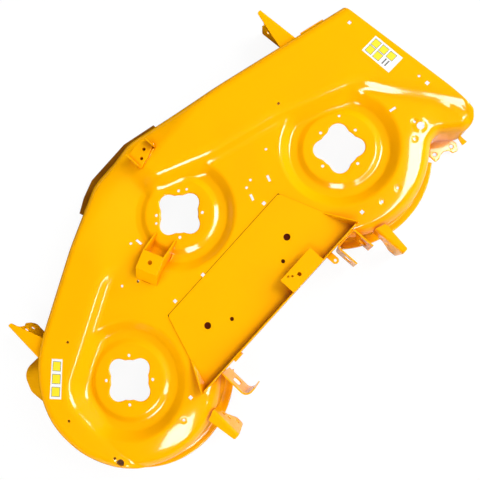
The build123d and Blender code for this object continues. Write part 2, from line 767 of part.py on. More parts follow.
def build_parts():
    """Every piece of the deck by name."""
    outer = pressed_body(0.0)
    inner = pressed_body(SHEET)
    parts = {
        "deck_shell": deck_shell(outer),
        "rear_plate": rear_plate(),
        "shelf_bracket": shelf_bracket(),
        "rear_tab": rear_tab(),
        "rear_lug": rear_lug(),
        "hanger_right": hanger_right(outer),
        "hanger_left": hanger_left(outer),
        "rear_wheel_arm_right": rear_wheel_arm(outer, 1),
        "rear_wheel_arm_left": rear_wheel_arm(outer, -1),
        "front_wheel_arm_right": front_wheel_arm(outer, 1, FRONT_ARM_RIGHT),
        "front_wheel_arm_left": front_wheel_arm(outer, -1, FRONT_ARM_LEFT),
        "idler_bracket": idler_bracket(outer),
        "nose_hanger": nose_hanger(outer),
        "nose_lip": nose_lip(outer),
        "right_lip": right_lip(),
    }
    for name, spindle, first, last in BAFFLES:
        parts[name] = front_baffle(inner, spindle, first, last)
    return parts


os.makedirs("parts", exist_ok=True)
for node, piece in build_parts().items():
    export_step(piece, "parts/" + node + ".step")
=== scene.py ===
"""Looks for the three-spindle lawn mower deck: the pressed shell as one smooth sheet, its welded brackets,
weld beads, stickers and yellow powder coat, in a white studio.

Shapes are worked out in millimetres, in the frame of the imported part, and made in metres.
"""

from math import atan2, cos, hypot, pi, radians, sin, tan

import bmesh
import bpy
import numpy as np
from mathutils import Matrix, Vector
from mathutils.geometry import delaunay_2d_cdt


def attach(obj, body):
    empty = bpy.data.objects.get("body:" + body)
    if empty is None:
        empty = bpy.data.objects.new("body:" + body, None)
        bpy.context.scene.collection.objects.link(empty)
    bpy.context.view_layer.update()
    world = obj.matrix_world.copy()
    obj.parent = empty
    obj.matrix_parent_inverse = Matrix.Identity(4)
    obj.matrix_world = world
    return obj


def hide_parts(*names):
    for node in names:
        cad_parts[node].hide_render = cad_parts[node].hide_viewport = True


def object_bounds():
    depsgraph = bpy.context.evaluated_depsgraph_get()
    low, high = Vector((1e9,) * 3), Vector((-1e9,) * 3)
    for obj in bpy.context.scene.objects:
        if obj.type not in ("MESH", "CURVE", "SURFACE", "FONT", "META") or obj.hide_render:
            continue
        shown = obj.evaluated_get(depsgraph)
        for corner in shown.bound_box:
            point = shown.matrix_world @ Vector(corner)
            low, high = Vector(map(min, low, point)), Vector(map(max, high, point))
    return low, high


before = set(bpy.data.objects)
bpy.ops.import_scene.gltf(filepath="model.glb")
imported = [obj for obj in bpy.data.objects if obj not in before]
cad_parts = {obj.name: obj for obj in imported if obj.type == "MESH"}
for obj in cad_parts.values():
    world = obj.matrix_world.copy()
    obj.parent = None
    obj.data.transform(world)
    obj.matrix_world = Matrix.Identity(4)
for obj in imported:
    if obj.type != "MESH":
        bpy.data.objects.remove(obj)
cad_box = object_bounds()

MM = 0.001

# Pressed sheet
SHEET = 2.8
FLOOR_Z = 14.0
BAND_Z = 36.0
SKIRT_BASE_Z = -104.0
FLOOR_ROUND = 26.0
BAND_ROUND = 30.0
STEP_LEAN = 46.0
OPEN_SIDE_X = 770.0
CREASE = 13.0
WIDE_CREASE = 22.0
CONE_R = 137.0
CONE_SLOPE = 0.32
NOSE_FOLD_Y = 172.0
NOSE_FOLD_SOFT = 12.0
NOSE_SLOPE = 0.32
RIM_FALL = 20.0
RIM_FALL_W = 80.0
RIM_FALL_STRAIGHT = 0.35
DISH_CREASE = 5.0

# Stretches over which one form of the sheet passes softly into the next: (from, to)
BAND_FALL_BACK = (120.0, 350.0)
BAND_FALL_LEFT = (300.0, 400.0)
WIDE_CREASE_X = (600.0, 720.0)
CONE_OPENS_LEFT = (-45.0, 30.0)
CONE_CLOSES_LEFT = (225.0, 315.0)
CONE_OPENS_FRONT = (-60.0, 60.0)
RIM_FALL_BESIDE = (250.0, 335.0)
RIM_FALL_BACK = (250.0, 360.0)

SPINDLES = [(-451.0, -223.0, 0.0), (0.0, 0.0, 0.0), (451.0, -223.0, 45.0)]
BOLT_CIRCLE_R = 69.85
BOLT_HOLE_R = 4.6
CLOVER_LOBE_R = 28.0
CLOVER_LOBE_OUT = 46.0
CLOVER_WAIST_R = 56.5
CLOVER_BLEND = 9.0
ROLLED_EDGE = 3.0
ROLLED_EDGE_W = 4.0
ROLLED_NEAR_R = 90.0

# Section of a dish, as (radius, height), its corners rounded out to DISH_FIRM_R
DISH = [(0.0, 0.0), (103.0, 0.0), (120.0, -8.0), (143.0, -8.0), (170.0, 14.0), (230.0, 62.9)]
DISH_STEP = 0.5
DISH_ROUND = 2.6
DISH_ROUND_STEPS = 16
DISH_FIRM_R = 190.0
DISH_REACH = 220.0
CLEAR_OF_DISH_Z = 60.0

WALL_CORNERS = [
    (900.0, 5.2, 0.0),
    (59.0, 269.0, 150.0),
    (-112.0, 269.0, 110.0),
    (-701.0, -25.0, 296.0),
    (-701.0, -478.0, 262.0),
    (-317.4, -478.0, 262.0),
    (-226.0, -370.0, 30.0),
    (236.0, -370.0, 30.0),
    (327.0, -478.0, 260.0),
    (528.0, -478.0, 260.0),
    (638.0, -404.0, 45.0),
    (668.0, -404.0, 28.0),
    (737.0, -471.0, 34.0),
    (900.0, -288.2, 0.0),
]
STEP_CORNERS = [
    (-618.0, -225.0, 200.0),
    (-625.0, -340.0, 100.0),
    (-640.0, -900.0, 0.0),
    (812.0, -900.0, 0.0),
    (826.0, -510.0, 0.0),
    (635.0, -139.0, 150.0),
    (404.0, -24.0, 300.0),
    (205.0, 42.0, 300.0),
    (11.0, 139.0, 90.0),
    (-307.0, 27.0, 900.0),
    (-610.0, -120.0, 95.0),
]
FLARE_FOOT = [
    (-575.0, 22.0, 0.0),
    (-638.0, 60.0, 20.0),
    (-712.0, 66.0, 44.0),
    (-737.0, 2.0, 40.0),
    (-728.0, -70.0, 30.0),
    (-699.0, -135.0, 0.0),
]
FLARE_CROWN = [
    (-560.0, -6.0, 0.0),
    (-586.0, 2.0, 14.0),
    (-616.0, -10.0, 20.0),
    (-646.0, -52.0, 20.0),
    (-664.0, -96.0, 20.0),
    (-682.0, -150.0, 0.0),
]
FLARE_TOP_Z = -2.0
FLARE_BLEND = 14.0
FLARE_FAR = 120.0
FLARE_NONE = -60.0

SMALL_HOLE_R = 4.0
ROUND_HOLES = [
    (523.0, -160.0),
    (310.0, -68.0),
    (430.0, -11.0),
    (213.0, -95.0),
    (189.0, -102.0),
    (-226.0, -49.0),
    (-268.0, -23.0),
    (-162.0, 49.0),
    (-490.0, -21.0),
    (-645.0, -179.0),
    (69.0, 34.0),
    (-67.0, 33.0),
    (739.0, -260.0),
    (640.0, -334.0),
    (-631.0, -345.0),
    (409.0, -417.0),
    (467.0, -423.0),
    (-416.0, -416.0),
    (603.0, -367.0),
]
SLOTS = [(178.0, -133.0, 67.0), (251.0, -132.0, 67.0), (-143.0, 36.0, 92.0), (629.0, -265.0, -15.0)]
SLOT_SIZE = (20.0, 7.0)
SQUARE_HOLES = [
    (188.0, -171.0),
    (-82.0, -179.0),
    (-192.0, -170.0),
    (351.0, -395.0),
    (-357.0, -388.0),
    (740.0, -6.0),
    (738.0, -290.0),
]
SQUARE_SIZE = (10.0, 10.0)
WASH_PORTS = [(642.0, -354.0), (-631.0, -365.0)]
PORT_R = 11.0

# Dished rings pressed round some of the holes, as (x, y, radius, depth), level in the middle
DIMPLE_FLAT = 0.35
DIMPLES = [
    (642.0, -354.0, 24.0, -2.2),
    (-631.0, -365.0, 22.0, 1.5),
    (640.0, -334.0, 12.0, 1.8),
    (603.0, -367.0, 12.0, 1.8),
    (467.0, -423.0, 11.0, 1.8),
    (409.0, -417.0, 10.0, 1.5),
    (-416.0, -416.0, 10.0, 1.5),
]

# Turned-out flange along the bottom of the rear skirt, as (outwards, height) from the wall
FLANGE_FRONT_Y = -400.0
FLANGE_RIGHT_X = 740.0
FLANGE_SECTION = [
    (0.0, -95.2),
    (1.76, -99.4),
    (6.0, -101.2),
    (13.5, -101.2),
    (21.2, -101.2),
    (23.2, -102.0),
    (24.0, -104.0),
    (24.0, -112.0),
]
EAR_SPAN = (620.0, 716.0)
EAR_POINTS = [
    (628.0, -396.0),
    (625.0, -452.0),
    (641.0, -454.0),
    (653.0, -449.0),
    (667.0, -449.0),
    (679.0, -458.0),
    (681.0, -472.0),
    (698.0, -478.0),
    (712.0, -459.0),
    (712.0, -440.0),
    (690.0, -400.0),
]
EAR_HOLES = [(694.0, -455.0), (642.0, -435.0)]
EAR_HOLE_R = 5.5
EAR_TOP_Z = -101.2
EAR_TILT = (-0.09, 0.085)
EAR_ROUND = 6.0
EAR_ROLL = 1.6
EAR_ROLL_W = 3.0

# Rows of mesh points, set closer where the sheet bends
RIM_PITCH = 5.0
RIM_ROWS = 8
RIM_FINE_ROWS = 6
ROW_PITCH = 7.0
WIDE_ROW_PITCH = 9.0
BAND_ROW = 1.0
BAND_ROW_PITCH = 10.0
OPEN_EDGE_Y = (-460.0, 80.0, 10.0)
PAST_OPEN_SIDE = 60.0
STEP_ROWS = (-9.0, -5.5, -3.0, 0.0, 3.0, 6.0, 10.0, 15.0, 19.0, 22.5, 26.0, 30.0, 36.0)
DISH_ROWS = (95, 99.5, 103, 106.5, 111, 116, 120, 124, 131.5, 139, 143, 147, 153, 160, 166, 170, 174, 179)
DISH_POINTS = 132
CLOVER_ROWS = (1.0, 2.4, 4.0)
CLOVER_POINTS = 140
HOLE_POINTS = 16
HOLE_ROWS = (2.5, 5.5, 9.0)
HOLE_ROW_POINTS = 20
PORT_POINTS = 28
PORT_ROWS = (3.0, 6.0, 9.5, 13.5)
PORT_ROW_POINTS = 32
EAR_PITCH = 3.0
EAR_HOLE_POINTS = 24
EAR_ROWS = (0.0, 0.35, 0.7, 1.0)
FLARE_PITCH = 4.0
FILL_X = (-730.0, 770.0, 14.0)
FILL_Y = (-500.0, 290.0, 12.0)
FILL_CELL = 5.0
FILL_FROM_BAND = 8.0
FILL_FROM_OPEN_SIDE = 5.0
WALL_ROWS = 11
ON_RIM = 0.05
CLEAR_OF_RIM = 0.4
SAME_LEVEL = 0.006
SLOPE_REACH = 0.4

# Stickers, as corners in plan and the fields of colour on them: (from, to) along and across
RIGHT_STICKER = [(755.0, -90.0), (751.0, -192.0), (694.0, -190.0), (698.0, -88.0)]
RIGHT_FIELDS = [
    ((0.07, 0.27), (0.12, 0.46), "field"),
    ((0.07, 0.27), (0.54, 0.88), "field"),
    ((0.35, 0.55), (0.12, 0.46), "field"),
    ((0.35, 0.55), (0.54, 0.88), "field"),
    ((0.63, 0.83), (0.12, 0.46), "field"),
    ((0.66, 0.70), (0.54, 0.88), "rule"),
    ((0.76, 0.80), (0.54, 0.88), "rule"),
]
LEFT_STICKER = [(-556.0, -19.0), (-640.0, -94.0), (-617.0, -120.0), (-535.0, -44.0)]
LEFT_FIELDS = [
    ((0.07, 0.29), (0.16, 0.84), "field"),
    ((0.39, 0.61), (0.16, 0.84), "field"),
    ((0.71, 0.93), (0.16, 0.84), "field"),
]
FIELD_FRAME = 1.4
STICKER_T = 0.25
STICKER_LIFT = 0.1
STICKER_PITCH = 5.0

# Brackets, eased and fitted to the sheet
EASED_EDGE = 0.8
SHARP_ANGLE = 40.0
FLAT_ANGLE = 1.0
SAME_POINT = 0.02
NOSE_SINK = 0.3
NOSE_FOOT = 0.5
BAFFLE_GAP = 1.0

# Weld beads, from point to point in plan
BEAD_R = 3.0
BEAD_PITCH = 1.0
BEAD_PUDDLE = 3.6
BEAD_RIPPLE = 0.16
BEAD_TIP = 0.02
BEAD_SIDES = 10
BEAD_SINK = 0.6
WELDS = {
    "weld_nose_hanger_right": ((102.0, 192.0), (102.0, 211.0)),
    "weld_nose_hanger_left": ((21.0, 173.0), (21.0, 220.0)),
    "weld_nose_hanger_rear": ((68.0, 174.8), (96.0, 185.4)),
    "weld_idler_end": ((-207.0, -84.0), (-218.0, -55.0)),
    "weld_idler_side_1": ((-99.0, -66.0), (-126.0, -76.0)),
    "weld_idler_side_2": ((-124.0, 4.0), (-152.0, -7.0)),
}


def clamp(values, low, high):
    return np.minimum(np.maximum(values, low), high)


def ease(values, low, high):
    """0 below low, 1 above high, and a soft rise between them."""
    share = clamp((values - low) / (high - low), 0.0, 1.0)
    return share * share * (3 - 2 * share)


def soft_max(a, b, width):
    """The larger of two heights, blended where they come within width of each other."""
    near = np.maximum(width - np.abs(a - b), 0.0) / width
    return np.maximum(a, b) + near * near * width / 4


def soft_min(a, b, width):
    return -soft_max(-a, -b, width)


class Outline:
    """A line of straight sides and rounded corners, anticlockwise round the metal."""

    def __init__(self, corners, closed=True):
        self.sides = []
        self.arcs = []
        count = len(corners)
        ends = []
        for i, (x, y, radius) in enumerate(corners):
            if not closed and i in (0, count - 1):
                ends.append(((x, y), (x, y)))
                continue
            u = self.direction(corners[i - 1], corners[i])
            v = self.direction(corners[i], corners[(i + 1) % count])
            turn = u[0] * v[1] - u[1] * v[0]
            bend = abs(atan2(turn, u[0] * v[0] + u[1] * v[1]))
            back = radius * tan(bend / 2)
            start = (x - u[0] * back, y - u[1] * back)
            stop = (x + v[0] * back, y + v[1] * back)
            ends.append((start, stop))
            if radius > 0:
                side = 1 if turn > 0 else -1
                centre = (start[0] - u[1] * radius * side, start[1] + u[0] * radius * side)
                first = atan2(start[1] - centre[1], start[0] - centre[0])
                self.arcs.append((centre, radius, side, first, bend, i))
        last = count if closed else count - 1
        for i in range(last):
            start = ends[i][1]
            stop = ends[(i + 1) % count][0]
            self.sides.append((start, stop, i))

    @staticmethod
    def direction(a, b):
        run = hypot(b[0] - a[0], b[1] - a[1])
        return ((b[0] - a[0]) / run, (b[1] - a[1]) / run)

    def ring(self, inset, pitch):
        """Points along the line drawn in by inset."""
        points = []
        arcs = {arc[-1]: arc for arc in self.arcs}
        for start, stop, i in self.sides:
            if i in arcs:
                centre, radius, side, first, bend, _ = arcs[i]
                reach = radius - inset * side
                count = max(2, int(round(radius * bend / pitch)))
                for k in range(count):
                    angle = first + side * bend * k / count
                    points.append((centre[0] + reach * cos(angle), centre[1] + reach * sin(angle)))
            run = hypot(stop[0] - start[0], stop[1] - start[1])
            if run < 1e-6:
                continue
            u = ((stop[0] - start[0]) / run, (stop[1] - start[1]) / run)
            count = max(1, int(round(run / pitch)))
            for k in range(count):
                share = run * k / count
                x = start[0] + u[0] * share - u[1] * inset
                y = start[1] + u[1] * share + u[0] * inset
                points.append((x, y))
        return points

    def depth(self, xy):
        """How far each point lies inside the line, negative outside, with the outward direction there."""
        best = np.full(len(xy), 1e9)
        depth = np.full(len(xy), 1e9)
        out = np.zeros((len(xy), 2))
        for start, stop, _ in self.sides:
            run = hypot(stop[0] - start[0], stop[1] - start[1])
            if run < 1e-6:
                continue
            u = np.array([(stop[0] - start[0]) / run, (stop[1] - start[1]) / run])
            rel = xy - np.array(start)
            along = clamp(rel @ u, 0.0, run)
            off = rel - along[:, None] * u
            far = np.hypot(off[:, 0], off[:, 1])
            closer = far < best
            left = rel[:, 1] * u[0] - rel[:, 0] * u[1]
            depth = np.where(closer, np.where(left >= 0, far, -far), depth)
            out[closer] = (u[1], -u[0])
            best = np.minimum(best, far)
        for centre, radius, side, first, bend, _ in self.arcs:
            rel = xy - np.array(centre)
            angle = side * (np.arctan2(rel[:, 1], rel[:, 0]) - first)
            angle = np.mod(angle + 1e-9, 2 * pi)
            reach = np.hypot(rel[:, 0], rel[:, 1])
            far = np.abs(reach - radius)
            closer = (angle <= bend + 2e-9) & (far < best)
            depth = np.where(closer, (radius - reach) * side, depth)
            unit = rel / np.maximum(reach, 1e-9)[:, None] * side
            out[closer] = unit[closer]
            best = np.where(closer, far, best)
        return depth, out


WALL = Outline(WALL_CORNERS)
STEP = Outline(STEP_CORNERS)
DISH_R = np.arange(0.0, DISH[-1][0], DISH_STEP)


def rounded_dish():
    """Heights of the dish's section at DISH_R, its corners rounded."""
    height = np.interp(DISH_R, [p[0] for p in DISH], [p[1] for p in DISH])
    steps = np.arange(-DISH_ROUND_STEPS, DISH_ROUND_STEPS + 1)
    kernel = np.exp(-0.5 * (steps * DISH_STEP / DISH_ROUND) ** 2)
    padded = np.pad(height, DISH_ROUND_STEPS, mode="edge")
    soft = np.convolve(padded, kernel / kernel.sum(), mode="valid")
    return np.where(DISH_R > DISH_FIRM_R, height, soft)


DISH_SOFT = rounded_dish()


def shoulder(depth, top, radius):
    """Height of a level top whose edge is rounded down to the wall."""
    short = clamp(radius - depth, 0.0, radius)
    return top - radius + np.sqrt(np.maximum(radius**2 - short**2, 0.0))


def clover_reach(angles):
    """How far the four-lobed opening reaches from its middle in each direction."""
    reach = np.full(len(angles), CLOVER_WAIST_R)
    for quarter in range(4):
        off = angles - quarter * pi / 2
        across = CLOVER_LOBE_OUT * np.sin(off)
        inside = np.abs(across) < CLOVER_LOBE_R
        lobe = CLOVER_LOBE_OUT * np.cos(off) + np.sqrt(np.maximum(CLOVER_LOBE_R**2 - across**2, 0.0))
        reach = np.where(inside & (np.cos(off) > 0), soft_max(reach, lobe, CLOVER_BLEND), reach)
    return reach


def clover_points(x, y, turn, spread=0.0):
    """The opening round a spindle as a line of points, grown by spread."""
    angles = np.arange(0.0, 2 * pi, 2 * pi / CLOVER_POINTS)
    reach = clover_reach(angles) + spread
    return [(x + r * cos(a), y + r * sin(a)) for r, a in zip(reach, angles + radians(turn))]


def rear_fall(xy, depth):
    """How far the floor falls towards the rear rims, outside the dishes and clear of the rear plate."""
    reach = clamp((RIM_FALL_W - depth) / RIM_FALL_W, 0.0, 1.0)
    beside = ease(np.abs(xy[:, 0]), *RIM_FALL_BESIDE)
    behind = ease(-xy[:, 1], *RIM_FALL_BACK)
    fall = RIM_FALL_STRAIGHT * reach + (1 - RIM_FALL_STRAIGHT) * reach**2
    return RIM_FALL * fall * beside * behind


def band_crest(xy):
    """Height of the front band's top, which sinks to the floor at the rear left and falls over the nose."""
    crest = BAND_Z - (BAND_Z - FLOOR_Z) * ease(-xy[:, 1], *BAND_FALL_BACK) * ease(-xy[:, 0], *BAND_FALL_LEFT)
    return crest - NOSE_SLOPE * soft_max(xy[:, 1] - NOSE_FOLD_Y, 0.0, NOSE_FOLD_SOFT)


def with_front_cone(xy, top, band):
    """The top, with the front left of the centre dish pressed as a groove and a long rise to the band."""
    reach = np.hypot(xy[:, 0], xy[:, 1])
    dish = np.interp(np.minimum(reach, CONE_R), DISH_R, DISH_SOFT)
    cone = soft_min(band, dish + np.maximum(reach - CONE_R, 0.0) * CONE_SLOPE, WIDE_CREASE)
    across = ease(-xy[:, 0], *CONE_OPENS_LEFT) * (1 - ease(-xy[:, 0], *CONE_CLOSES_LEFT))
    share = across * ease(xy[:, 1], *CONE_OPENS_FRONT)
    return top + (cone - top) * share


def surface_height(xy):
    """Height of the shell's outer face over each point in plan."""
    depth, _ = WALL.depth(xy)
    floor = shoulder(depth, FLOOR_Z, FLOOR_ROUND) - rear_fall(xy, depth)
    for x, y, _ in SPINDLES:
        reach = np.hypot(xy[:, 0] - x, xy[:, 1] - y)
        dish = np.where(reach < DISH_REACH, np.interp(reach, DISH_R, DISH_SOFT), CLEAR_OF_DISH_Z)
        floor = soft_min(floor, dish, DISH_CREASE)
    behind, _ = STEP.depth(xy)
    crest = band_crest(xy)
    band = shoulder(depth, crest, BAND_ROUND)
    slope = crest - behind / tan(radians(STEP_LEAN))
    steep = soft_min(band, slope, CREASE + WIDE_CREASE * ease(xy[:, 0], *WIDE_CREASE_X))
    top = with_front_cone(xy, soft_max(floor, steep, CREASE), band)
    for x, y, turn in SPINDLES:
        reach = np.hypot(xy[:, 0] - x, xy[:, 1] - y)
        near = np.where(reach < ROLLED_NEAR_R)[0]
        edge = reach[near] - clover_reach(np.arctan2(xy[near, 1] - y, xy[near, 0] - x) - radians(turn))
        top[near] -= ROLLED_EDGE * clamp(1 - edge / ROLLED_EDGE_W, 0.0, 1.0) ** 2
    for x, y, radius, sink in DIMPLES:
        away = np.hypot(xy[:, 0] - x, xy[:, 1] - y)
        top = top - sink * (1 - ease(away, radius * DIMPLE_FLAT, radius))
    return top


def circle_points(x, y, radius, count):
    """A circle as a line of points."""
    angles = [2 * pi * k / count for k in range(count)]
    return [(x + radius * cos(angle), y + radius * sin(angle)) for angle in angles]


def box_points(x, y, size, turn):
    """A rectangle's corners."""
    half_l = size[0] / 2
    half_w = size[1] / 2
    c = cos(radians(turn))
    s = sin(radians(turn))
    corners = [(half_l, half_w), (-half_l, half_w), (-half_l, -half_w), (half_l, -half_w)]
    return [(x + u * c - v * s, y + u * s + v * c) for u, v in corners]


def inside_polygon(xy, polygon):
    inside = np.zeros(len(xy), bool)
    x, y = xy[:, 0], xy[:, 1]
    for i, a in enumerate(polygon):
        b = polygon[i - 1]
        if a[1] == b[1]:
            continue
        crosses = (a[1] > y) != (b[1] > y)
        inside ^= crosses & (x < (b[0] - a[0]) * (y - a[1]) / (b[1] - a[1]) + a[0])
    return inside


def shell_openings():
    """Every hole through the top of the shell, as closed lines of points."""
    holes = []
    for x, y, turn in SPINDLES:
        holes.append(clover_points(x, y, turn))
        for quarter in range(4):
            angle = radians(turn + 45 + 90 * quarter)
            bolt_x = x + BOLT_CIRCLE_R * cos(angle)
            bolt_y = y + BOLT_CIRCLE_R * sin(angle)
            holes.append(circle_points(bolt_x, bolt_y, BOLT_HOLE_R, HOLE_POINTS))
    holes += [circle_points(x, y, SMALL_HOLE_R, HOLE_POINTS) for x, y in ROUND_HOLES]
    holes += [circle_points(x, y, PORT_R, PORT_POINTS) for x, y in WASH_PORTS]
    holes += [box_points(x, y, SLOT_SIZE, turn) for x, y, turn in SLOTS]
    holes += [box_points(x, y, SQUARE_SIZE, 0.0) for x, y in SQUARE_HOLES]
    return holes


def plan_lines(holes):
    """Every line that the shell's top bends or ends along in plan, as (points, closed)."""
    rings = [WALL.ring(0.0, RIM_PITCH)]
    for share in range(1, RIM_ROWS + 1):
        inset = FLOOR_ROUND * (1 - sin(radians(90 - 90 / RIM_ROWS * share)))
        rings.append(WALL.ring(inset, ROW_PITCH if share < RIM_FINE_ROWS else WIDE_ROW_PITCH))
    rings.append(WALL.ring(BAND_ROUND + BAND_ROW, BAND_ROW_PITCH))
    rings += [STEP.ring(behind, ROW_PITCH) for behind in STEP_ROWS]
    for x, y, turn in SPINDLES:
        rings += [circle_points(x, y, reach, DISH_POINTS) for reach in DISH_ROWS]
        rings += [clover_points(x, y, turn, spread) for spread in CLOVER_ROWS]
    lines = []
    for ring in rings:
        kept = [p for p in ring if p[0] < OPEN_SIDE_X + PAST_OPEN_SIDE]
        lines.append((kept, len(kept) == len(ring)))
    lines.append(([(OPEN_SIDE_X, y) for y in np.arange(*OPEN_EDGE_Y)], False))
    lines += [(hole, True) for hole in holes]
    for x, y in ROUND_HOLES:
        lines += [(circle_points(x, y, SMALL_HOLE_R + spread, HOLE_ROW_POINTS), True) for spread in HOLE_ROWS]
    for x, y in WASH_PORTS:
        lines += [(circle_points(x, y, PORT_R + spread, PORT_ROW_POINTS), True) for spread in PORT_ROWS]
    return lines


def fill_points(lines):
    """A loose grid of points over the flat stretches, clear of the lines."""
    gx, gy = np.meshgrid(np.arange(*FILL_X), np.arange(*FILL_Y))
    gx[::2] += FILL_X[2] / 2
    fill = np.stack([gx.ravel(), gy.ravel()], 1)
    depth, _ = WALL.depth(fill)
    clear = (depth > BAND_ROUND + FILL_FROM_BAND) & (fill[:, 0] < OPEN_SIDE_X - FILL_FROM_OPEN_SIDE)
    taken = {(int(x // FILL_CELL), int(y // FILL_CELL)) for line, _ in lines for x, y in line}
    kept = []
    for x, y in fill[clear]:
        column = int(x // FILL_CELL)
        row = int(y // FILL_CELL)
        if not any((column + i, row + j) in taken for i in (-1, 0, 1) for j in (-1, 0, 1)):
            kept.append((x, y))
    return kept


def triangulate(lines, loose=()):
    """Points and triangles over lines, given as (points, closed), and the loose points between them."""
    points = []
    edges = []
    for line, closed in lines:
        first = len(points)
        points.extend(line)
        count = len(line)
        edges.extend((first + k, first + (k + 1) % count) for k in range(count if closed else count - 1))
    points.extend(loose)
    verts, _, faces, _, _, _ = delaunay_2d_cdt([Vector(p) for p in points], edges, [], 0, 1e-4)
    return np.array([tuple(v) for v in verts]), np.array(faces)


def plan_mesh():
    """Points and triangles of the shell's top in plan, dense where the sheet bends."""
    holes = shell_openings()
    lines = plan_lines(holes)
    xy, tris = triangulate(lines, fill_points(lines))
    middle = xy[tris].mean(axis=1)
    depth, _ = WALL.depth(middle)
    keep = (depth > 0) & (middle[:, 0] < OPEN_SIDE_X)
    keep &= inside_polygon(middle, WALL.ring(0.0, RIM_PITCH))
    for hole in holes:
        low = np.min(hole, axis=0)
        high = np.max(hole, axis=0)
        near = np.where(keep & np.all((middle >= low) & (middle <= high), axis=1))[0]
        keep[near[inside_polygon(middle[near], hole)]] = False
    return xy, tris[keep]


def flare_line(height):
    """The front left bulge's outer line at a height, from its crown to its foot."""
    share = (FLARE_TOP_Z - height) / (FLARE_TOP_Z - SKIRT_BASE_Z)
    corners = []
    for foot, crown in zip(FLARE_FOOT, FLARE_CROWN):
        corners.append(tuple(c + (f - c) * share for f, c in zip(foot, crown)))
    return Outline(corners, closed=False)


def flare_reach(xy, out, height):
    """How far the bulge stands out of the wall at each wall point, softly closing to nothing at its ends."""
    reach = np.full(len(xy), FLARE_NONE)
    if height > FLARE_TOP_Z:
        return np.zeros(len(xy))
    line = np.array(flare_line(height).ring(0.0, FLARE_PITCH))
    for a, b in zip(line[:-1], line[1:]):
        u = b - a
        det = out[:, 0] * u[1] - out[:, 1] * u[0]
        det = np.where(np.abs(det) < 1e-9, 1e-9, det)
        rel = a - xy
        along = (rel[:, 0] * u[1] - rel[:, 1] * u[0]) / det
        share = (rel[:, 0] * out[:, 1] - rel[:, 1] * out[:, 0]) / det
        hit = (share >= 0) & (share <= 1) & (np.abs(along) < FLARE_FAR)
        reach = np.where(hit, np.maximum(reach, along), reach)
    return soft_max(reach, 0.0, FLARE_BLEND)


def smooth_normals(verts, tris):
    normals = np.zeros_like(verts)
    a, b, c = verts[tris[:, 0]], verts[tris[:, 1]], verts[tris[:, 2]]
    face = np.cross(b - a, c - a)
    for k in range(3):
        np.add.at(normals, tris[:, k], face)
    return normals / np.maximum(np.linalg.norm(normals, axis=1), 1e-12)[:, None]


def open_edges(tris):
    """The directed edges that only one triangle uses."""
    edges = np.concatenate([tris[:, [0, 1]], tris[:, [1, 2]], tris[:, [2, 0]]])
    used = {(int(a), int(b)) for a, b in edges}
    return [(a, b) for a, b in used if (b, a) not in used]


def only_used(tris, *rows):
    """The triangles renumbered onto the points that they use, and those points' part of each array."""
    used = np.unique(tris)
    renumber = np.full(used[-1] + 1, -1)
    renumber[used] = np.arange(len(used))
    return renumber[tris], *[row[used] for row in rows]


def top_normals(xy):
    """Directions square to the shell's top over each point in plan."""
    slopes = []
    for step in ((SLOPE_REACH, 0), (0, SLOPE_REACH)):
        slopes.append((surface_height(xy + step) - surface_height(xy - step)) / (2 * SLOPE_REACH))
    facing = np.stack([-slopes[0], -slopes[1], np.ones(len(xy))], 1)
    return facing / np.linalg.norm(facing, axis=1)[:, None]


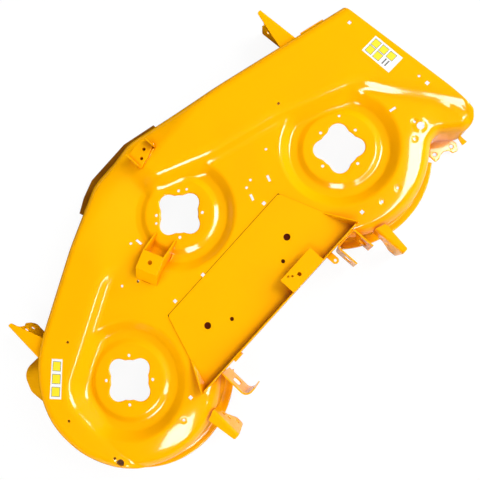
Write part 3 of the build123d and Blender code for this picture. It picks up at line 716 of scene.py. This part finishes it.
def shell_surface():
    """The shell's outer face: top, wall and turned-out flange, as points, normals and triangles."""
    xy, tris = plan_mesh()
    tris, xy = only_used(tris, xy)
    a, b, c = xy[tris[:, 0]], xy[tris[:, 1]], xy[tris[:, 2]]
    turn = (b[:, 0] - a[:, 0]) * (c[:, 1] - a[:, 1]) - (b[:, 1] - a[:, 1]) * (c[:, 0] - a[:, 0])
    tris[turn < 0] = tris[turn < 0][:, ::-1]
    height = surface_height(xy)
    depth, out = WALL.depth(xy)
    facing = top_normals(xy)

    verts = [np.column_stack([xy, height])]
    total = len(xy)
    rim = [(i, j) for i, j in open_edges(tris) if max(abs(depth[i]), abs(depth[j])) < ON_RIM]
    wall = sorted({i for edge in rim for i in edge})
    place = {v: k for k, v in enumerate(wall)}
    foot = xy[wall]
    away = out[wall]
    top = height[wall]
    rows = [np.array(wall)]
    flange_start = FLANGE_SECTION[0][1]
    for k in range(1, WALL_ROWS + 1):
        z = top + (flange_start - top) * k / WALL_ROWS
        reach = np.zeros(len(wall))
        for level in np.unique(np.round(z, 2)):
            here = np.abs(z - level) < SAME_LEVEL
            reach[here] = flare_reach(foot[here], away[here], level)
        verts.append(np.column_stack([foot + away * reach[:, None], z]))
        rows.append(np.arange(total, total + len(wall)))
        total += len(wall)
    tip = foot + away * FLANGE_SECTION[-1][0]
    flanged = (foot[:, 1] < FLANGE_FRONT_Y) & (tip[:, 0] < FLANGE_RIGHT_X)
    flanged &= (tip[:, 0] < EAR_SPAN[0]) | (tip[:, 0] > EAR_SPAN[1])
    reach = flare_reach(foot, away, SKIRT_BASE_Z)
    verts.append(np.column_stack([foot + away * reach[:, None], np.full(len(wall), SKIRT_BASE_Z)]))
    plain_row = np.arange(total, total + len(wall))
    total += len(wall)
    flange_rows = []
    for reach, z in FLANGE_SECTION[1:]:
        z = np.where(tip[:, 0] > EAR_SPAN[1], max(z, SKIRT_BASE_Z), z)
        verts.append(np.column_stack([foot + away * reach, z]))
        flange_rows.append(np.arange(total, total + len(wall)))
        total += len(wall)
    strips = []
    for i, j in rim:
        p, q = place[i], place[j]
        column = [(row[p], row[q]) for row in rows]
        if flanged[p] and flanged[q]:
            column += [(row[p], row[q]) for row in flange_rows]
        else:
            column.append((plain_row[p], plain_row[q]))
        for (a, b), (c, d) in zip(column[:-1], column[1:]):
            strips.append((b, a, c))
            strips.append((b, c, d))
    verts = np.concatenate(verts)
    faces = np.concatenate([tris, np.array(strips)])
    normals = smooth_normals(verts, faces)
    inner = np.where(depth > CLEAR_OF_RIM)[0]
    normals[inner] = facing[inner]
    faces, verts, normals = only_used(faces, verts, normals)
    return verts, normals, faces


def ear_height(xy, outline):
    """Height of the hitch ear's outer face, with its edges rolled over."""
    depth, _ = outline.depth(xy)
    for x, y in EAR_HOLES:
        depth = np.minimum(depth, np.hypot(xy[:, 0] - x, xy[:, 1] - y) - EAR_HOLE_R)
    tilted = EAR_TOP_Z + (xy - np.mean(EAR_POINTS, axis=0)) @ np.array(EAR_TILT)
    return tilted - EAR_ROLL * clamp(1 - depth / EAR_ROLL_W, 0.0, 1.0) ** 2


def ear_surface():
    """The outer face of the hitch ear beside the notch."""
    outline = Outline([(x, y, EAR_ROUND) for x, y in EAR_POINTS])
    spreads = [share * EAR_ROLL_W for share in EAR_ROWS]
    lines = [outline.ring(spread, EAR_PITCH) for spread in spreads]
    holes = [circle_points(x, y, EAR_HOLE_R, EAR_HOLE_POINTS) for x, y in EAR_HOLES]
    for spread in spreads:
        lines += [circle_points(x, y, EAR_HOLE_R + spread, EAR_HOLE_POINTS) for x, y in EAR_HOLES]
    xy, tris = triangulate([(line, True) for line in lines])
    middle = xy[tris].mean(axis=1)
    keep = inside_polygon(middle, lines[0])
    for hole in holes:
        keep &= ~inside_polygon(middle, hole)
    tris = tris[keep]
    verts = np.column_stack([xy, ear_height(xy, outline)])
    return verts, smooth_normals(verts, tris), tris


def sticker_surface(corners, fields):
    """A thin sticker laid on the shell, as points, normals, triangles and each triangle's colour."""
    corners = np.array(corners)
    sides = (np.linalg.norm(corners[1] - corners[0]), np.linalg.norm(corners[3] - corners[0]))
    framed = []
    for (s0, s1), (c0, c1), color in fields:
        if color == "field":
            u, v = FIELD_FRAME / sides[0], FIELD_FRAME / sides[1]
            framed.append(((s0 - u, s1 + u), (c0 - v, c1 + v), "rule"))
        framed.append(((s0, s1), (c0, c1), color))
    fields = framed
    steps = []
    for side in (0, 1):
        marks = sorted({0.0, 1.0, *[edge for field in fields for edge in field[side]]})
        length = sides[side]
        line = []
        for a, b in zip(marks[:-1], marks[1:]):
            count = max(1, int(round((b - a) * length / STICKER_PITCH)))
            line += [a + (b - a) * k / count for k in range(count)]
        steps.append(line + [1.0])
    along, across = steps
    xy = []
    for s in along:
        near = corners[0] + (corners[1] - corners[0]) * s
        far = corners[3] + (corners[2] - corners[3]) * s
        xy += [near + (far - near) * c for c in across]
    xy = np.array(xy)
    tris = []
    colors = []
    row = len(across)
    names = ["paper", "field", "rule"]
    for i in range(len(along) - 1):
        for j in range(row - 1):
            s = (along[i] + along[i + 1]) / 2
            c = (across[j] + across[j + 1]) / 2
            color = "paper"
            for (s0, s1), (c0, c1), field in fields:
                if s0 < s < s1 and c0 < c < c1:
                    color = field
            a = i * row + j
            tris += [(a, a + row, a + 1), (a + 1, a + row, a + row + 1)]
            colors += [names.index(color)] * 2
    tris = np.array(tris)
    a, b, c = xy[tris[0]]
    if (b[0] - a[0]) * (c[1] - a[1]) < (b[1] - a[1]) * (c[0] - a[0]):
        tris = tris[:, ::-1]
    verts = np.column_stack([xy, surface_height(xy) + STICKER_T + STICKER_LIFT])
    return verts, smooth_normals(verts, tris), tris, colors


def add_object(name, data):
    piece = bpy.data.objects.new(name, data)
    bpy.context.scene.collection.objects.link(piece)
    return piece


def bead_points(a, b):
    """Points along a weld from a to b, and its radius at each, with a ripple per puddle and narrow ends."""
    run = hypot(b[0] - a[0], b[1] - a[1])
    count = int(run / BEAD_PITCH)
    share = np.linspace(0.0, 1.0, count + 1)[:, None]
    xy = np.array(a) + (np.array(b) - np.array(a)) * share
    swell = np.abs(np.cos(pi * share[:, 0] * run / BEAD_PUDDLE))
    taper = np.sqrt(clamp(np.minimum(share[:, 0], 1 - share[:, 0]) * run / BEAD_R, BEAD_TIP, 1.0))
    return xy, BEAD_R * (1 - BEAD_RIPPLE + BEAD_RIPPLE * swell) * taper


def weld_bead(name, a, b):
    """A rippled weld bead sunk into the shell from a to b."""
    xy, radii = bead_points(a, b)
    height = surface_height(xy)
    out = (np.array([a[1] - b[1], b[0] - a[0]]) / hypot(b[0] - a[0], b[1] - a[1]))[None, :]
    verts = []
    for k in range(BEAD_SIDES):
        angle = 2 * pi * k / BEAD_SIDES
        side = xy + out * (radii * cos(angle))[:, None]
        verts.append(np.column_stack([side, height + radii * sin(angle) - BEAD_SINK]))
    verts = np.stack(verts, 1).reshape(-1, 3) * MM
    faces = []
    for row in range(len(xy) - 1):
        for k in range(BEAD_SIDES):
            here = row * BEAD_SIDES
            after = (k + 1) % BEAD_SIDES
            faces.append([here + k, here + BEAD_SIDES + k, here + BEAD_SIDES + after, here + after])
    faces.append(list(range(BEAD_SIDES)))
    faces.append([len(verts) - 1 - k for k in range(BEAD_SIDES)])
    mesh = bpy.data.meshes.new(name)
    mesh.from_pydata(verts.tolist(), [], faces)
    mesh.polygons.foreach_set("use_smooth", [True] * len(faces))
    return add_object(name, mesh)


def sheet_object(name, verts, normals, tris, thickness, slots=None):
    """A closed sheet from its outer face, thickened inwards, with smooth faces and square cut edges."""
    count = len(verts)
    inner = verts - normals * thickness
    inner[:, 0] = np.minimum(inner[:, 0], verts[:, 0].max())
    both = np.concatenate([verts, inner]) * MM
    faces = tris.tolist()
    faces += (tris[:, ::-1] + count).tolist()
    smooth = [True] * len(faces)
    for a, b in open_edges(tris):
        faces.append([b, a, a + count, b + count])
        smooth.append(False)
    mesh = bpy.data.meshes.new(name)
    mesh.from_pydata(both.tolist(), [], faces)
    mesh.polygons.foreach_set("use_smooth", smooth)
    if slots:
        mesh.polygons.foreach_set("material_index", slots * 2 + [0] * (len(faces) - 2 * len(slots)))
    corner_normals = np.zeros((len(mesh.loops), 3))
    corners = np.concatenate([tris.ravel(), tris[:, ::-1].ravel()])
    corner_normals[: len(corners)] = normals[corners]
    corner_normals[len(tris) * 3 : len(corners)] *= -1
    mesh.normals_split_custom_set(corner_normals.tolist())
    mesh.update()
    return add_object(name, mesh)


class Value:
    """A shader socket that arithmetic adds Math nodes to."""

    def __init__(self, finish, socket):
        self.finish = finish
        self.socket = socket

    def maths(self, operation, *others):
        node = self.finish.tree.nodes.new("ShaderNodeMath")
        node.operation = operation
        for place, value in zip(node.inputs, (self, *others)):
            self.finish.feed(place, value)
        return Value(self.finish, node.outputs[0])

    def __add__(self, other):
        return self.maths("ADD", other)

    __radd__ = __add__

    def __sub__(self, other):
        return self.maths("SUBTRACT", other)

    def __rsub__(self, other):
        return (self * -1) + other

    def __mul__(self, other):
        return self.maths("MULTIPLY", other)

    __rmul__ = __mul__

    def __pow__(self, other):
        return self.maths("POWER", other)

    def above(self, limit, soft):
        return self.ramp(limit - soft, limit + soft)

    def below(self, limit, soft):
        return self.ramp(limit - soft, limit + soft, 1.0, 0.0)

    def ramp(self, low, high, out_low=0.0, out_high=1.0):
        """This value taken from low..high to out_low..out_high and held there, with soft ends."""
        settings = {"interpolation_type": "SMOOTHSTEP"}
        return self.finish.node(
            "ShaderNodeMapRange",
            settings,
            {"Value": self, "From Min": low, "From Max": high, "To Min": out_low, "To Max": out_high},
        )


class Finish:
    """A material built up in code."""

    def __init__(self, name, world=None):
        self.material = world or bpy.data.materials.new(name)
        self.material.use_nodes = True
        self.tree = self.material.node_tree
        self.tree.nodes.clear()
        self.out = self.tree.nodes.new("ShaderNodeOutputWorld" if world else "ShaderNodeOutputMaterial")

    def feed(self, place, value):
        if isinstance(value, Value):
            self.tree.links.new(value.socket, place)
        else:
            place.default_value = value

    def node(self, kind, settings=None, inputs=None, output=0):
        """A node of a kind, its settings made first, then its sockets fed; gives back one output."""
        node = self.tree.nodes.new(kind)
        for name, value in (settings or {}).items():
            setattr(node, name, value)
        for name, value in (inputs or {}).items():
            self.feed(node.inputs[name], value)
        return Value(self, node.outputs[output])

    def place(self):
        return self.node("ShaderNodeTexCoord", output="Object")

    def split(self, vector):
        """The three parts of a vector."""
        parts = self.node("ShaderNodeSeparateXYZ", {}, {"Vector": vector})
        return [Value(self, part) for part in parts.socket.node.outputs]

    def noise(self, scale, detail=3.0, roughness=0.5):
        inputs = {"Vector": self.place(), "Scale": scale, "Detail": detail, "Roughness": roughness}
        return self.node("ShaderNodeTexNoise", {}, inputs)

    def mix(self, amount, a, b):
        """Colour a going over to colour b as the amount goes from 0 to 1."""
        return self.node("ShaderNodeMix", {"data_type": "RGBA"}, {"Factor": amount, 6: a, 7: b}, output=2)

    def bump(self, height, distance, under=None):
        inputs = {"Height": height, "Distance": distance, "Strength": 1.0}
        if under is not None:
            inputs["Normal"] = under
        return self.node("ShaderNodeBump", {}, inputs)

    def ray(self, kind):
        return self.node("ShaderNodeLightPath", output=kind)

    def direct_ray(self):
        """1 for what is seen straight, in a mirror or through glass, 0 for light that a surface scatters."""
        direct = self.ray("Is Camera Ray") + self.ray("Is Glossy Ray") + self.ray("Is Transmission Ray")
        return direct.maths("MINIMUM", 1.0)

    def surface(self, shader):
        self.tree.links.new(shader.socket, self.out.inputs["Surface"])
        return self.material


# Sky and floor, as the light that they give or mirror
SKY_LOW = 0.03
SKY_HIGH = 1.34
SKY_HEAD = (0.26, -0.38, 0.887)
BACKDROP_TOP = (0.0, 0.12)
CEILING = 0.02
FLOOR_WHITE = 0.93
FLOOR_MIRRORED = 0.08
FLOOR_GREY = (0.58, 0.58, 0.58, 1.0)
FLOOR_DARK = (0.52, 0.52, 0.52, 1.0)
FLOOR_PAPER = (0.95, 0.95, 0.95, 1.0)
WHITE = (1.0, 1.0, 1.0, 1.0)
# Blacks of the sheet that stands for the floor's shade in reflections
SHADE_SHEET_BLACK = (0.004, 0.004, 0.004, 1.0)
SHADE_SHEET_LIGHTER = (0.01, 0.01, 0.01, 1.0)

# Paint and printed vinyl, with bumps in metres
GLOSS = 0.35
PAINT_YELLOW = (1.0, 0.44, 0.0, 1.0)
PAINT_DEEP = (0.96, 0.39, 0.0, 1.0)
# Painted shade: the deep orange that the paint is given in recesses
PAINTED_SHADE_ORANGE = (0.65, 0.14, 0.0, 1.0)
# Painted shade: dark brown under the rear plate, round the nose hanger's bolts and on the nose lip
PAINTED_SHADE_BROWN = (0.075, 0.010, 0.002, 1.0)
PEEL_HEIGHT = 0.00002
RIPPLE_HEIGHT = 0.0001
PAINTED_SHADE_REACH = 0.05
VINYL_GRAIN = 0.00002
VINYL_SATIN = 0.4
VINYL_SHADE = 0.85

# Where the rear cover plate and the nose hanger sit on the shell, and where painted shade lies on the shell
# under them
COVER_FRONT_Y = -184.0
SHADE_PAST_COVER_EDGE = 1.8
COVER_HALF = 236.6
COVER_TAPER = 0.32
COVER_LOW_Z = 9.0
HANGER_BOLTS = [(72.0, 201.0), (47.0, 187.0)]
HANGER_SPOT = 8.0
MASK_SOFT = 0.4
MASK_SOFT_UP = 1.0
SPOT_SOFT = 1.0


def painted_shade_under_brackets(finish):
    """1 for painted shade on the shell: under the rear plate, in a thin line just past its front edge, and
    round the nose hanger's two bolts.
    """
    across, forward, up = finish.split(finish.place())
    # Painted shadow: the mask reaches a little past the rear plate's front edge, a dark line along it
    below_front = forward.below((COVER_FRONT_Y + SHADE_PAST_COVER_EDGE) * MM, MASK_SOFT * MM)
    half = (COVER_HALF + COVER_FRONT_Y * COVER_TAPER) * MM - forward * COVER_TAPER
    beside = half - across.maths("ABSOLUTE")
    shade_here = below_front * beside.above(0.0, MASK_SOFT * MM) * up.above(COVER_LOW_Z * MM, MASK_SOFT_UP * MM)
    for x, y in HANGER_BOLTS:
        away = (across - x * MM) ** 2 + (forward - y * MM) ** 2
        shade_here = shade_here.maths("MAXIMUM", away.below((HANGER_SPOT * MM) ** 2, SPOT_SOFT * MM**2))
    return shade_here


def painted_shade_on_lip(finish):
    """How much painted shade in dark brown lies on the lip low in front of the nose wall: 80 to 90 per cent,
    varying with noise.
    """
    return finish.noise(12.0, 3.0).ramp(0.3, 0.7, 0.8, 0.9)


def yellow_powder_coat(name="yellow_powder_coat", painted_shade_mask=None):
    """Glossy yellow powder coat over pressed steel: fine orange peel, painted shade in deep orange in the
    recesses and in dark brown where a mask is given, faint rubs.
    """
    finish = Finish(name)
    cloud = finish.noise(6.0, 4.0)
    color = finish.mix(cloud.ramp(0.35, 0.75, 0.0, 0.35), PAINT_YELLOW, PAINT_DEEP)
    peel = finish.noise(420.0, 2.0)
    ripple = finish.noise(26.0, 2.0)
    rub = finish.noise(60.0, 6.0, 0.7)
    inputs = {"Distance": PAINTED_SHADE_REACH}
    # Painted shade: where ambient occlusion finds recesses, the paint turns deep orange
    painted_recess_shade = finish.node("ShaderNodeAmbientOcclusion", {"samples": 8}, inputs, output="AO")
    color = finish.mix(painted_recess_shade.ramp(0.15, 0.95, 1.0, 0.0), color, PAINTED_SHADE_ORANGE)
    # Painted shade in dark brown wherever the given mask says
    if painted_shade_mask is not None:
        color = finish.mix(painted_shade_mask(finish), color, PAINTED_SHADE_BROWN)
    roughness = 0.07 + cloud * 0.03 + rub.ramp(0.55, 0.8, 0.0, 0.05)
    normal = finish.bump(peel, PEEL_HEIGHT)
    normal = finish.bump(ripple, RIPPLE_HEIGHT, under=normal)
    shader = finish.node(
        "ShaderNodeBsdfPrincipled",
        {},
        {"Base Color": color, "Roughness": roughness, "Normal": normal, "Specular IOR Level": GLOSS},
    )
    return finish.surface(shader)


def sticker_vinyl(name, base):
    """Printed vinyl with a fine grain and a slight satin."""
    finish = Finish(name)
    grain = finish.noise(300.0, 2.0)
    darker = (*[VINYL_SHADE * part for part in base[:3]], 1.0)
    color = finish.mix(grain.ramp(0.3, 0.8, 0.0, 0.3), base, darker)
    shader = finish.node(
        "ShaderNodeBsdfPrincipled",
        {},
        {"Base Color": color, "Roughness": VINYL_SATIN, "Normal": finish.bump(grain, VINYL_GRAIN)},
    )
    return finish.surface(shader)


def studio_floor():
    """A white floor that keeps a soft shadow and reads as the white background."""
    finish = Finish("studio_floor")
    mirrored = finish.ray("Is Glossy Ray") + finish.ray("Is Transmission Ray")
    seen = finish.ray("Is Camera Ray")
    speckle = finish.noise(40.0)
    color = finish.mix(speckle.ramp(0.3, 0.7, 0.0, 0.2), FLOOR_GREY, FLOOR_DARK)
    paper = finish.node("ShaderNodeBsdfDiffuse", {}, {"Color": finish.mix(seen, color, FLOOR_PAPER)})
    glow = finish.node("ShaderNodeEmission", {}, {"Color": WHITE, "Strength": 1.0})
    share = seen * FLOOR_WHITE + mirrored * FLOOR_MIRRORED
    return finish.surface(finish.node("ShaderNodeMixShader", {}, {0: share, 1: paper, 2: glow}))


def shade_sheet_black():
    """Matt black for the sheet of painted shade that is seen in reflections, with a faint weave."""
    finish = Finish("floor_shade_sheet_cloth")
    weave = finish.noise(200.0)
    color = finish.mix(weave, SHADE_SHEET_BLACK, SHADE_SHEET_LIGHTER)
    return finish.surface(finish.node("ShaderNodeBsdfDiffuse", {}, {"Color": color}))


def settle_on_nose(mesh):
    """Stretches the nose hanger's underside down to the sloping sheet."""
    for vertex in mesh.vertices:
        if vertex.co.z < (BAND_Z + NOSE_FOOT) * MM:
            here = np.array([[vertex.co.x, vertex.co.y]]) / MM
            vertex.co.z = min(vertex.co.z, (surface_height(here)[0] - NOSE_SINK) * MM)


def trim_under_shell(mesh):
    """Lowers a baffle's top edge to the shell's inner face where the sheet slopes."""
    for vertex in mesh.vertices:
        here = np.array([[vertex.co.x, vertex.co.y]]) / MM
        vertex.co.z = min(vertex.co.z, (surface_height(here)[0] - SHEET - BAFFLE_GAP) * MM)


def softened(name, node):
    """A copy of a bracket with its corners and edges eased, as bent and blanked steel has them."""
    mesh = node.data.copy()
    if name == "nose_hanger":
        settle_on_nose(mesh)
    if name.startswith("front_baffle"):
        trim_under_shell(mesh)
    body = bmesh.new()
    body.from_mesh(mesh)
    bmesh.ops.remove_doubles(body, verts=body.verts, dist=SAME_POINT * MM)
    bmesh.ops.dissolve_limit(body, angle_limit=radians(FLAT_ANGLE), verts=body.verts, edges=body.edges)
    for face in body.faces:
        face.smooth = True
    body.to_mesh(mesh)
    body.free()
    piece = add_object(name + "_dressed", mesh)
    edges = piece.modifiers.new("eased_edges", "BEVEL")
    edges.width = EASED_EDGE * MM
    edges.segments = 2
    edges.limit_method = "ANGLE"
    edges.angle_limit = radians(SHARP_ANGLE)
    edges.use_clamp_overlap = False
    piece.modifiers.new("flat_faces", "WEIGHTED_NORMAL")
    return piece


yellow = yellow_powder_coat()
# The shell's coat takes painted shade under the rear plate and round the nose hanger's bolts
shell_paint = yellow_powder_coat("yellow_powder_coat_shell", painted_shade_under_brackets)
# The nose lip's coat takes painted shade in dark brown over most of it
lip_paint = yellow_powder_coat("yellow_powder_coat_lip", painted_shade_on_lip)

pressed = shell_surface()
shell = sheet_object("pressed_shell", *pressed, SHEET)
ear = sheet_object("hitch_ear", *ear_surface(), SHEET)
for piece in (shell, ear):
    piece.data.materials.append(shell_paint)
    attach(piece, "root")
    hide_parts("deck_shell")

vinyls = [
    sticker_vinyl("sticker_white", (0.86, 0.86, 0.84, 1.0)),
    sticker_vinyl("sticker_yellow", (0.92, 0.74, 0.01, 1.0)),
    sticker_vinyl("sticker_grey", (0.12, 0.12, 0.11, 1.0)),
]
for name, corners, fields in (
    ("sticker_right", RIGHT_STICKER, RIGHT_FIELDS),
    ("sticker_left", LEFT_STICKER, LEFT_FIELDS),
):
    verts, normals, tris, colors = sticker_surface(corners, fields)
    sticker = sheet_object(name, verts, normals, tris, STICKER_T, colors)
    for vinyl in vinyls:
        sticker.data.materials.append(vinyl)
    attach(sticker, "root")

for name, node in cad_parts.items():
    if name == "deck_shell":
        continue
    piece = softened(name, node)
    piece.data.materials.clear()
    piece.data.materials.append(lip_paint if name == "nose_lip" else yellow)
    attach(piece, "root")
    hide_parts(name)

for name, (start, stop) in WELDS.items():
    bead = weld_bead(name, start, stop)
    bead.data.materials.append(yellow)
    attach(bead, "root")

# Camera at the photograph's viewing angle
CAMERA_AT = Vector((0.075252, -0.459556, 1.474478))
CAMERA_AXES = Matrix(
    (
        (0.67039734, 0.74196249, 0.007686),
        (-0.72883443, 0.66040768, -0.18072651),
        (-0.13916818, 0.11555675, 0.98350336),
    )
)
CAMERA_LENS = 38.868
CAMERA_SENSOR = 36.0
camera_data = bpy.data.cameras.new("camera")
camera_data.sensor_width = CAMERA_SENSOR
camera_data.lens = CAMERA_LENS
camera = add_object("camera", camera_data)
camera.matrix_world = Matrix.Translation(CAMERA_AT) @ CAMERA_AXES.to_4x4()
bpy.context.scene.camera = camera

# White floor under the skirt
FLOOR_HALF = 6.0
floor_z = cad_box[0][2]
floor_mesh = bpy.data.meshes.new("floor")
floor_corners = [(-FLOOR_HALF, -FLOOR_HALF), (FLOOR_HALF, -FLOOR_HALF)]
floor_corners += [(FLOOR_HALF, FLOOR_HALF), (-FLOOR_HALF, FLOOR_HALF)]
floor_mesh.from_pydata([(x, y, floor_z) for x, y in floor_corners], [], [(0, 1, 2, 3)])
floor = add_object("floor", floor_mesh)
floor_mesh.materials.append(studio_floor())

LAMP_DISTANCE = 8.0


def light_panel(name, direction, spread, radiance, diffuse=True, glossy=True):
    """An oblong softbox far off in a direction, its width and height as shares of its distance."""
    light = bpy.data.lights.new(name, "AREA")
    light.shape = "RECTANGLE"
    light.size = spread[0] * LAMP_DISTANCE
    light.size_y = spread[1] * LAMP_DISTANCE
    light.energy = radiance * light.size * light.size_y * pi
    lamp = add_object(name, light)
    away = Vector(direction).normalized()
    turned = away.to_track_quat("Z", "Y").to_matrix().to_4x4()
    lamp.matrix_world = Matrix.Translation(away * LAMP_DISTANCE) @ turned
    lamp.visible_camera = False
    lamp.visible_diffuse = diffuse
    lamp.visible_glossy = glossy


# Painted shade in reflections: a black sheet on the floor before and beside the deck, where the floor lies in
# the deck's shade, seen only in the deck's glossy flanks
SHADE_SHEET_LIFT = 0.001
SHADE_SHEET_OUTLINE = [
    (-3.0, -0.4),
    (-0.70, -0.4),
    (-0.70, -0.02),
    (-0.11, 0.268),
    (0.06, 0.268),
    (0.77, 0.05),
    (3.0, 0.9),
    (3.0, 3.0),
    (-3.0, 3.0),
]
shade_sheet_mesh = bpy.data.meshes.new("floor_shade_sheet")
shade_sheet_corners = [(x, y, floor_z + SHADE_SHEET_LIFT) for x, y in SHADE_SHEET_OUTLINE]
shade_sheet_mesh.from_pydata(shade_sheet_corners, [], [tuple(range(len(shade_sheet_corners)))])
shade_sheet = add_object("floor_shade_sheet", shade_sheet_mesh)
shade_sheet_mesh.materials.append(shade_sheet_black())
shade_sheet.visible_camera = False
shade_sheet.visible_diffuse = False
shade_sheet.visible_shadow = False
shade_sheet.visible_transmission = False

light_panel("softbox_right", (0.547, -0.397, 0.74), (0.42, 0.27), 28.0, diffuse=False)
light_panel("softbox_left", (-0.40, -0.42, 0.81), (0.28, 0.28), 26.0, diffuse=False)
light_panel("strip_rear", (0.165, -0.597, 0.78), (0.44, 0.09), 26.0, diffuse=False)
light_panel("key_right", (0.62, -0.27, 0.74), (0.34, 0.36), 12.5, glossy=False)
light_panel("key_left", (-0.40, -0.42, 0.81), (0.28, 0.28), 8.0, glossy=False)
light_panel("fill_right", (0.88, -0.25, 0.40), (0.60, 0.40), 6.0, glossy=False)
light_panel("fill_left", (-0.97, -0.04, 0.13), (0.60, 0.20), 16.0, glossy=False)


def studio_sky():
    """A dome brightest behind the camera, a white background, and a white horizon mirrored in the paint."""
    world = bpy.data.worlds.new("studio")
    sky = Finish("sky", world)
    direction = sky.node("ShaderNodeTexCoord", output="Generated")
    _, _, upward = sky.split(direction)
    inputs = {0: direction, 1: SKY_HEAD}
    toward = sky.node("ShaderNodeVectorMath", {"operation": "DOT_PRODUCT"}, inputs, output="Value")
    toward = toward.maths("MAXIMUM", 0.0)
    dome = toward * toward * toward * SKY_HIGH + SKY_LOW
    backdrop = upward.ramp(BACKDROP_TOP[0], BACKDROP_TOP[1], 1.0, CEILING)
    lit = sky.node("ShaderNodeBackground", {}, {"Color": WHITE, "Strength": dome})
    seen = sky.node("ShaderNodeBackground", {}, {"Color": WHITE, "Strength": 1.0})
    mirrored = sky.node("ShaderNodeBackground", {}, {"Color": WHITE, "Strength": backdrop})
    shown = sky.node("ShaderNodeMixShader", {}, {0: sky.ray("Is Camera Ray"), 1: mirrored, 2: seen})
    sky.surface(sky.node("ShaderNodeMixShader", {}, {0: sky.direct_ray(), 1: lit, 2: shown}))
    return world


bpy.context.scene.world = studio_sky()
bpy.context.scene.view_settings.view_transform = "Standard"
